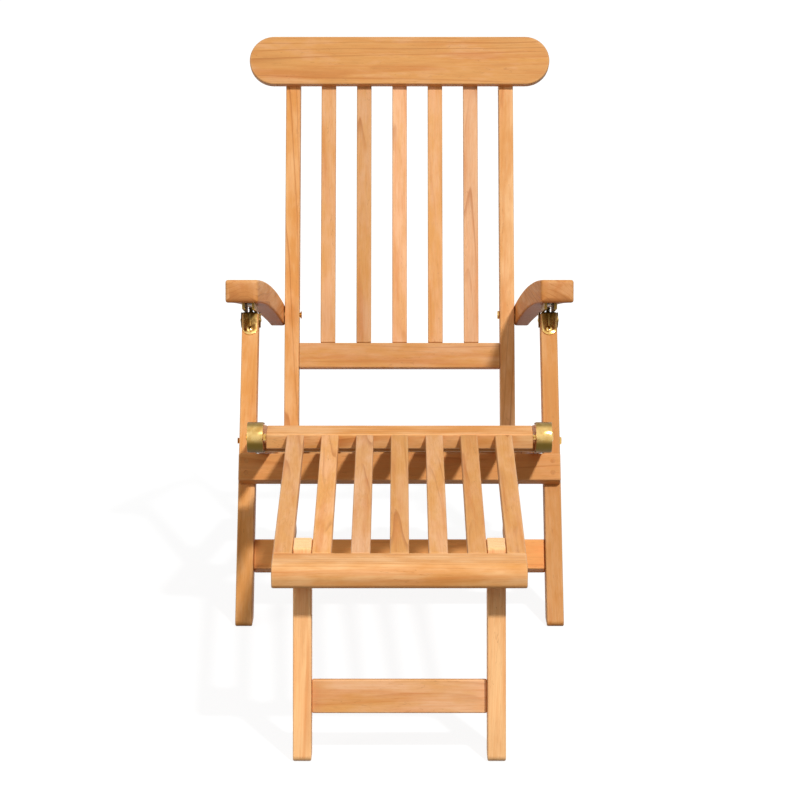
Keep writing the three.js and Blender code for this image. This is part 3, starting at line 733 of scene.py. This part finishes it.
arms = {
    "reach": 372, "rise": 103, "archRise": 74, "archShare": 0.52, "depth": 39.5,
    "frontWidth": 57, "rearWidth": 27, "nose": 7.0, "edge": 4.2,
    "stations": 26, "noseStations": 6, "tailStations": 10,
    "splayBlend": 0.02,     # how softly the sides start to spread at the bolt
    "tailEnd": 0.985,       # the last station's share of the half circle behind the bolt
    "tint": {"left": 0.4, "right": 0.3}, "shade": {"left": 0.98, "right": 0.92},
    "endStations": 4, "endWear": 0.2,
    # The underside's tint and shade are painted shade under the arm.
    "paintedShadeFrom": 0.85, "paintedShadeSpan": 0.13, "paintedShadeTint": -0.9, "paintedShadeLevel": 0.78,
}


def archAt(share):
    # A curve through three points: front face, highest bend and arm bolt, as places from the arm bolt.
    rest = 1 - share
    bend = 2 * rest * share
    behind = -arms["reach"] * (rest ** 2 + bend * (1 - arms["archShare"]))
    above = arms["rise"] * rest ** 2 + arms["archRise"] * bend
    alongSpeed = arms["reach"] * (rest * arms["archShare"] + share * (1 - arms["archShare"]))
    fallSpeed = rest * (arms["rise"] - arms["archRise"]) + share * arms["archRise"]
    return np.stack([behind, above], -1) * mm, np.arctan2(fallSpeed, alongSpeed)


def armStations():
    # The stations' places and slopes along the arch, how far each is drawn in, and their half heights. The
    # nose draws in as a quarter circle, and behind the bolt the height follows a half circle.
    half = arms["depth"] * mm / 2
    nose = arms["nose"] * mm
    quarter = np.linspace(math.pi / 2, 0, arms["noseStations"])
    noseSpeed = 2 * arms["reach"] * arms["archShare"] * mm
    noseShare = nose * (1 - np.sin(quarter)) / noseSpeed
    share = np.concatenate([noseShare, np.linspace(noseShare[-1], 1, arms["stations"])[1:]])
    drawn = np.concatenate([nose * (1 - np.cos(quarter)), np.zeros(arms["stations"] - 1)])
    place, slope = archAt(share)
    tail = np.linspace(0, math.pi / 2, arms["tailStations"] + 1)[1:]
    tail[-1] *= arms["tailEnd"]
    direction = np.array([math.cos(slope[-1]), -math.sin(slope[-1])])
    place = np.concatenate([place, (half * np.sin(tail))[:, None] * direction])
    slope = np.concatenate([slope, np.full(len(tail), slope[-1])])
    halfHeight = np.concatenate([half - drawn, half * np.cos(tail)])
    drawn = np.concatenate([drawn, np.zeros(len(tail))])
    return place, slope, drawn, halfHeight


def armShape(node, side):
    # A rounded section is carried along the arch, and the plan widens from the bolt to the front. Also
    # gives each point's height in its section, from -1 to 1.
    low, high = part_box(node)
    inner = abs(high[0] if side < 0 else low[0])
    outer = abs(low[0] if side < 0 else high[0])
    bolt = next(joint["pos_m"] for joint in frame["joints"] if joint["child"] == f"{node}_pivot")
    place, slope, drawn, halfHeight = armStations()
    forward = -place[:, 0] / (arms["reach"] * mm)
    splay = (forward + np.sqrt(forward ** 2 + arms["splayBlend"] ** 2)) / 2
    rearWidth = arms["rearWidth"] * mm
    frontInner = outer - arms["frontWidth"] * mm
    innerEdge = inner + (frontInner - inner) * splay
    outerEdge = inner + rearWidth + (outer - inner - rearWidth) * splay
    outerEdge = np.minimum(outerEdge, outer)
    middle = (innerEdge + outerEdge) / 2
    halfWidth = (outerEdge - innerEdge) / 2 - drawn
    radius = np.minimum(arms["edge"] * mm, edges["nearlyAll"] * np.minimum(halfHeight, halfWidth))
    across, square = roundedSection(halfWidth, halfHeight, radius, edges["sectionSteps"])
    x = side * (middle[:, None] + across)
    y = bolt[1] + place[:, :1] + square * np.sin(slope)[:, None]
    z = bolt[2] + place[:, 1:] + square * np.cos(slope)[:, None]
    return np.stack([x, y, z], 2), square / halfHeight[:, None]


for word, side in sides.items():
    node = f"{word}_arm"
    grid, height = armShape(node, side)
    points, faces = closedShape(grid)
    seed += 1
    stations = np.repeat(np.arange(grid.shape[0]), grid.shape[1])
    atNose = np.clip(1 - stations / arms["endStations"], 0, 1)
    # Painted shade: the underside is made browner and darker, where shade falls under the arm.
    under = np.clip((-height.ravel() - arms["paintedShadeFrom"]) / arms["paintedShadeSpan"], 0, 1)
    tint = arms["tint"][word] + arms["paintedShadeTint"] * under
    shade = arms["shade"][word] * (1 + (arms["paintedShadeLevel"] - 1) * under)
    # Along an arm the grain stays level, as in a board that the arch was sawn from.
    attributes = {
        "grain": grainOf(points, "along", seed, "flat"),
        "traits": np.stack([tint, atNose * arms["endWear"], atNose], 1),
        "shade": shade,
    }
    addPiece(f"{node}_board", node, (points, faces), attributes)
print("arms ready")


# Brass

strips = {"edge": 0.6, "steps": 4, "fullest": 0.95}


def stripShape(path, halfWidths, thickness, middle, edge=strips["edge"]):
    # A flat strip seen from its side: its section is carried along the path, square to it.
    tangent = np.gradient(path, axis=0)
    tangent /= np.linalg.norm(tangent, axis=1, keepdims=True)
    outward = np.stack([-tangent[:, 1], tangent[:, 0]], 1)
    halfWidths = np.broadcast_to(halfWidths, len(path)).astype(float)
    halfHeights = np.full(len(path), thickness / 2)
    radius = np.minimum(edge * mm, np.minimum(halfWidths, halfHeights) * strips["fullest"])
    across, square = roundedSection(halfWidths, halfHeights, radius, strips["steps"])
    sideways = path[:, None] + square[:, :, None] * outward[:, None]
    return closedShape(np.concatenate([(middle + across)[:, :, None], sideways], 2))


def addBrass(node, ending, shapes, lean, paintedShadeAt=None):
    points, faces = joinShapes(shapes)
    attributes = {"paintedBrassShade": paintedShadeAt(points)} if paintedShadeAt else {}
    addPiece(f"{node}_{ending}", node, (toChair(points, lean), faces), attributes)


straps = {
    "thickness": 2.0, "noseSteps": 24, "screwInset": 9, "screwRadius": 3.2, "screwRise": 0.7,
    # How much painted shade and painted reflection lies below the strap's middle and on its top.
    "lowShade": 1.0, "lowSpan": 0.5, "topShade": 0.7, "topFrom": 0.66, "topSpan": 0.1,
}


def addStrap(node):
    # A strip along the rail's top, round its nose as a half circle and back below, with two screws.
    lean = leans["seat"]
    low, high = spanOf(node, lean)
    thickness = straps["thickness"] * mm
    half = (high[2] - low[2]) / 2 - thickness / 2
    above = (high[2] + low[2]) / 2
    noseAlong = low[1] + thickness / 2 + half
    turn = np.linspace(math.pi / 2, math.pi * 3 / 2, straps["noseSteps"])
    nose = np.stack([noseAlong + half * np.cos(turn), above + half * np.sin(turn)], 1)
    path = np.concatenate([[[high[1], above + half]], nose, [[high[1], above - half]]])
    middle = (low[0] + high[0]) / 2
    shapes = [stripShape(path, (high[0] - low[0]) / 2, thickness, middle)]
    for sign in (1, -1):
        place = (middle, high[1] - straps["screwInset"] * mm, above + sign * (half + thickness / 2))
        shapes.append(domeAt(straps["screwRadius"], straps["screwRise"], place, (0, 0, sign)))

    def paintedShadeAt(points):
        # Painted shade and painted reflection: bright in front, darker below and a little darker on top.
        height = (points[:, 2] - above) / half
        below = straps["lowShade"] * np.clip(-height / straps["lowSpan"], 0, 1)
        return below + straps["topShade"] * np.clip((height - straps["topFrom"]) / straps["topSpan"], 0, 1)

    addBrass(node, "band", shapes, lean, paintedShadeAt)


caps = {
    "thickness": 2.2, "width": 25, "frontTail": 43, "rearTail": 24, "bend": 3.2,
    "endSteps": 8, "endFrom": 0.12,
    "earDrop": 26, "earWidth": 26, "earRoundShare": 0.7, "earCorner": 0.8,
    "earEase": 0.5, "earSteps": 8, "earEaseSteps": 3,
    "domeRadius": 5.4, "domeRise": 2.6, "domeInset": 10,
    "rivetRadius": 4.4, "rivetRise": 1.9, "rivetDrop": 14,
    "ribWidth": 2.6, "ribHeight": 1.5, "ribInset": 17, "ribEdge": 0.74, "ribBend": 1,
    # How dark the painted shadow of the arm is, and how far it fades in.
    "dull": 0.75, "armShadowSpan": 12,
}


def addCap(node):
    # A strip over the leg's slanted top, with round ends in front and behind, an ear on each side of the
    # leg, a round head and a rib in front, and a rivet through each ear.
    lean = leans["frontLegs"]
    low, high = spanOf(node, lean)
    thickness = caps["thickness"] * mm
    square, reach = squareToChannel(node, lean)

    def topAt(above, under=0.0):
        return (reach - under - square[1] * above) / square[0]

    middle = (low[0] + high[0]) / 2
    centre = (low[2] + high[2]) / 2
    front = high[2] - thickness / 2
    rear = low[2] + thickness / 2
    frontEnd = topAt(high[2]) - caps["frontTail"] * mm
    rearEnd = topAt(low[2]) - caps["rearTail"] * mm
    corners = [[frontEnd, front], [topAt(front, thickness / 2), front],
               [topAt(rear, thickness / 2), rear], [rearEnd, rear]]
    path = roundedPath(corners, caps["bend"] * mm)
    # Both ends are half circles: at an angle q the half width shrinks by sin q.
    halfWidth = caps["width"] * mm / 2
    quarter = np.linspace(caps["endFrom"], math.pi / 2, caps["endSteps"])
    advance = halfWidth * (1 - np.cos(quarter))
    frontPath, rearPath = (np.column_stack([end + advance, np.full(len(advance), above)])
                           for end, above in ((frontEnd, front), (rearEnd, rear)))
    path = np.concatenate([frontPath, path[1:-1], rearPath[::-1]])
    widths = np.full(len(path), halfWidth)
    widths[:len(quarter)] = halfWidth * np.sin(quarter)
    widths[-len(quarter):] = halfWidth * np.sin(quarter[::-1])
    shapes = [stripShape(path, widths, thickness, middle)]
    earHalf = caps["earWidth"] * mm / 2
    earLow = topAt(centre) - caps["earDrop"] * mm
    earRound = earHalf * caps["earRoundShare"]
    earCorner = caps["earCorner"] * mm
    earRear = centre - earHalf
    earFront = centre + earHalf
    outline = np.array([[earLow, earRear, earRound], [topAt(earRear), earRear, earCorner],
                        [topAt(earFront), earFront, earCorner], [earLow, earFront, earRound]])
    for inner in (low[0], high[0] - thickness):
        grid = boardGrid(outline, caps["earSteps"], inner, inner + thickness, caps["earEase"] * mm,
                         caps["earEaseSteps"])[0]
        shapes.append(closedShape(grid))
    domeAlong = frontEnd + caps["domeInset"] * mm
    shapes.append(domeAt(caps["domeRadius"], caps["domeRise"], (middle, domeAlong, high[2]), (0, 0, 1)))
    ribEnds = frontEnd + caps["ribInset"] * mm, topAt(high[2]) - caps["bend"] * mm
    rib = [[along, high[2]] for along in (ribEnds[0], np.mean(ribEnds), ribEnds[1])]
    rib = roundedPath(rib, caps["ribBend"] * mm)
    shapes.append(stripShape(rib, caps["ribWidth"] * mm / 2, caps["ribHeight"] * mm, middle, caps["ribEdge"]))
    rivetAlong = topAt(centre) - caps["rivetDrop"] * mm
    for sign, face in ((-1, low[0]), (1, high[0])):
        place = (face, rivetAlong, centre)
        shapes.append(domeAt(caps["rivetRadius"], caps["rivetRise"], place, (sign, 0, 0)))

    def paintedShadeAt(points):
        # Painted shadow of the arm: bright at the round end, darker towards the arm.
        return caps["dull"] * np.clip((points[:, 1] - domeAlong) / (caps["armShadowSpan"] * mm), 0, 1)

    addBrass(node, "plate", shapes, lean, paintedShadeAt)


studs = {
    "footRadius": 4.5, "footTop": 1.12, "neckRadius": 3.3, "neckFrom": 1.92, "neckTo": 6.2,
    "headRadius": 4.5, "headRim": 4.23, "headFrom": 6.7, "headTop": 10.0, "rise": 2.2, "paintedBrassShade": 0.9,
    "touch": 0.01,   # points this near the lowest are the foot's
}


def addStud(node):
    # A neck between a small foot and a domed head that runs in the channel.
    points = nodePoints(node)
    up = np.array([0, -math.sin(channelSlope), math.cos(channelSlope)])
    height = points @ up
    foot = points[height < height.min() + studs["touch"] * mm].mean(0)
    profile = [[studs["footRadius"], 0], [studs["footRadius"], studs["footTop"]],
               [studs["neckRadius"], studs["neckFrom"]], [studs["neckRadius"], studs["neckTo"]],
               [studs["headRim"], studs["headFrom"]]]
    profile += domeProfile(studs["headRadius"], studs["rise"], studs["headTop"] - studs["rise"])
    shape = stood(revolved(np.array(profile) * mm, domes["segments"]), foot, up)
    # Painted shade: the pin is darkened all over, as it lies in the shade under the arm.
    addBrass(node, "pin", [shape], leans["level"], lambda points: np.full(len(points), studs["paintedBrassShade"]))


channels = {
    "ease": 0.6, "easeSteps": 3, "web": 2.5, "slot": 12.5, "edgeRound": 0.5, "edgeSteps": 4, "paintedBrassShade": 0.8,
}


def addChannel(node):
    # An open profile: the outline runs round two walls and the web above them, and is carried along the arm.
    lean = math.degrees(channelSlope)
    low, high = spanOf(node, lean)
    slot = channels["slot"] * mm / 2
    middle = (low[0] + high[0]) / 2
    wall = (high[0] - low[0]) / 2
    under = high[2] - channels["web"] * mm
    edge = channels["edgeRound"] * mm
    outline = np.array([[-wall, high[2], edge], [-wall, low[2], edge], [-slot, low[2], edge],
                        [-slot, under, 0], [slot, under, 0], [slot, low[2], edge],
                        [wall, low[2], edge], [wall, high[2], edge]])
    outline[:, 0] += middle
    grid = boardGrid(outline, channels["edgeSteps"], low[1], high[1], channels["ease"] * mm,
                     channels["easeSteps"])[0]
    shape = closedShape(grid[:, :, [1, 0, 2]])
    # Painted shade: the channel is darkened all over, as it lies in the shade under the arm.
    addBrass(node, "rail", [shape], lean, lambda points: np.full(len(points), channels["paintedBrassShade"]))


bolts = {
    "kinds": ["leg_bolt", "back_bolt", "arm_bolt", "hinge_pin", "footrest_bolt"],
    "bevel": 0.9, "bevelSteps": 4, "segments": 28, "nearest": 0.02, "decimals": 2,
}


def turnedShape(node):
    # The node's own profile of radius against place, with its corners rounded, turned about its axis.
    points = nodePoints(node)
    axis = (points[:, 1:].min(0) + points[:, 1:].max(0)) / 2
    radii = np.linalg.norm(points[:, 1:] - axis, axis=1)
    pairs = np.unique(np.round(np.stack([points[:, 0], radii], 1) / mm, bolts["decimals"]), axis=0)
    profile = []
    last = 0.0
    for place in np.unique(pairs[:, 0]):
        found = np.sort(pairs[pairs[:, 0] == place][:, 1])
        found = found[[0, -1]] if abs(found[0] - last) <= abs(found[-1] - last) else found[[-1, 0]]
        for radius in found:
            if not profile or abs(profile[-1][1] - radius) + abs(profile[-1][0] - place) > bolts["nearest"]:
                profile.append([place, radius])
        last = profile[-1][1]
    line = roundedPath(profile, bolts["bevel"], bolts["bevelSteps"]) * mm
    line = line[line[:, 1] > bolts["nearest"] * mm]
    return stood(revolved(line[:, ::-1], bolts["segments"]), (0, axis[0], axis[1]), (1, 0, 0))


for word in sides:
    addStrap(f"{word}_nose_strap")
    addCap(f"{word}_leg_cap")
    addStud(f"{word}_arm_stud")
    addChannel(f"{word}_arm_channel")
    for kind in bolts["kinds"]:
        node = f"{word}_{kind}"
        addBrass(node, "turned", [turnedShape(node)], leans["level"])
print("brass ready")


# Plugs over the apron's screws

plugs = {
    "radius": 4.4, "rise": 0.3, "spread": 10.5, "across": 262.5,
    "tint": -0.3, "endGrain": 0.45, "shade": 0.9, "crease": 30,
}


def addPlugs(node, lean):
    low, high = spanOf(node, lean)
    for word, side in sides.items():
        for index, sign in enumerate((-1, 1)):
            along = (low[1] + high[1]) / 2 + sign * plugs["spread"] * mm
            place = (side * plugs["across"] * mm, along, high[2])
            points, faces = domeAt(plugs["radius"], plugs["rise"], place, (0, 0, 1))
            attributes = {
                "grain": points[:, [2, 0, 1]],
                "traits": np.tile([plugs["tint"], 0, plugs["endGrain"]], (len(points), 1)),
                "shade": np.full(len(points), plugs["shade"]),
            }
            addPiece(f"{word}_apron_plug_{index + 1}", node, (toChair(points, lean), faces), attributes,
                     crease=plugs["crease"], standsFor=False)


addPlugs("front_apron", leans["frontLegs"])
print("plugs ready")


# Floor, light and camera

stage = {
    "floorSize": 90000, "floorWhite": 0.2, "floorGlow": 0.89, "glowReach": (700, 2200), "worldFill": 0.33,
    "keyPlace": (1700, -4000, 4300), "keySize": 420, "keyPower": 264,
    "fillPlace": (-3600, -3000, 1900), "fillSize": 2600, "fillPower": 44,
    "cameraPlace": (0.8, -4424, 1260), "cameraPitch": -11.23, "cameraLens": 121.5, "cameraSensor": 36,
    "cameraReach": 100000, "aim": (0, 100, 450),
}


def whiteToEye(tree):
    # White where the camera, a gloss or a glass looks at it, and plain elsewhere.
    path = addNode(tree, "LightPath", {})
    seen = figure(tree, "MAXIMUM", path.outputs["Is Camera Ray"], path.outputs["Is Glossy Ray"])
    return figure(tree, "MAXIMUM", seen, path.outputs["Is Transmission Ray"])


def floorMaterial():
    # A pale floor: a share of its white is its own glow to the eye, the rest is lit and keeps the chair's
    # shadow. Away from the chair the glow grows to white.
    material = bpy.data.materials.new("floor")
    material.use_nodes = True
    tree = material.node_tree
    tree.nodes.clear()
    seen = whiteToEye(tree)
    diffuse = addNode(tree, "BsdfDiffuse", {"Color": (stage["floorWhite"],) * 3 + (1,)})
    place = addNode(tree, "TexCoord", {}).outputs["Object"]
    distance = addNode(tree, "VectorMath", {0: place}, operation="LENGTH").outputs["Value"]
    near, far = (reach * mm for reach in stage["glowReach"])
    strength = figure(tree, "MULTIPLY", seen, remap(tree, distance, near, far, stage["floorGlow"], 1.0))
    glow = addNode(tree, "Emission", {"Color": (1, 1, 1, 1), "Strength": strength})
    total = addNode(tree, "AddShader", {0: diffuse.outputs[0], 1: glow.outputs[0]})
    addNode(tree, "OutputMaterial", {"Surface": total.outputs[0]}).is_active_output = True
    return material


def addFloor():
    half = stage["floorSize"] * mm / 2
    corners = [(-half, -half, 0), (half, -half, 0), (half, half, 0), (-half, half, 0)]
    mesh = bpy.data.meshes.new("floor")
    mesh.from_pydata(corners, [], [(0, 1, 2, 3)])
    mesh.materials.append(floorMaterial())
    floor = bpy.data.objects.new("floor", mesh)
    bpy.context.scene.collection.objects.link(floor)


def addWorld():
    world = bpy.data.worlds.new("studio")
    world.use_nodes = True
    bpy.context.scene.world = world
    tree = world.node_tree
    background = tree.nodes["Background"]
    inputs = {"Value": whiteToEye(tree), "To Min": stage["worldFill"], "To Max": 1.0}
    strength = addNode(tree, "MapRange", inputs).outputs["Result"]
    background.inputs["Color"].default_value = (1, 1, 1, 1)
    tree.links.new(strength, background.inputs["Strength"])


def addLamp(name):
    # A round lamp that faces the chair.
    lamp = bpy.data.lights.new(name, "AREA")
    lamp.shape = "DISK"
    lamp.size = stage[f"{name}Size"] * mm
    lamp.energy = stage[f"{name}Power"]
    holder = bpy.data.objects.new(name, lamp)
    bpy.context.scene.collection.objects.link(holder)
    holder.location = [value * mm for value in stage[f"{name}Place"]]
    aim = type(holder.location)([value * mm for value in stage["aim"]])
    holder.rotation_euler = (holder.location - aim).to_track_quat("Z", "Y").to_euler()


def addCamera():
    lens = bpy.data.cameras.new("camera")
    lens.lens = stage["cameraLens"]
    lens.sensor_width = stage["cameraSensor"]
    lens.clip_end = stage["cameraReach"] * mm
    camera = bpy.data.objects.new("camera", lens)
    bpy.context.scene.collection.objects.link(camera)
    camera.location = [value * mm for value in stage["cameraPlace"]]
    camera.rotation_euler = (math.pi / 2 + math.radians(stage["cameraPitch"]), 0, 0)
    bpy.context.scene.camera = camera


addFloor()
addWorld()
addLamp("key")
addLamp("fill")
addCamera()
bpy.context.scene.view_settings.view_transform = "Standard"
print("stage ready")
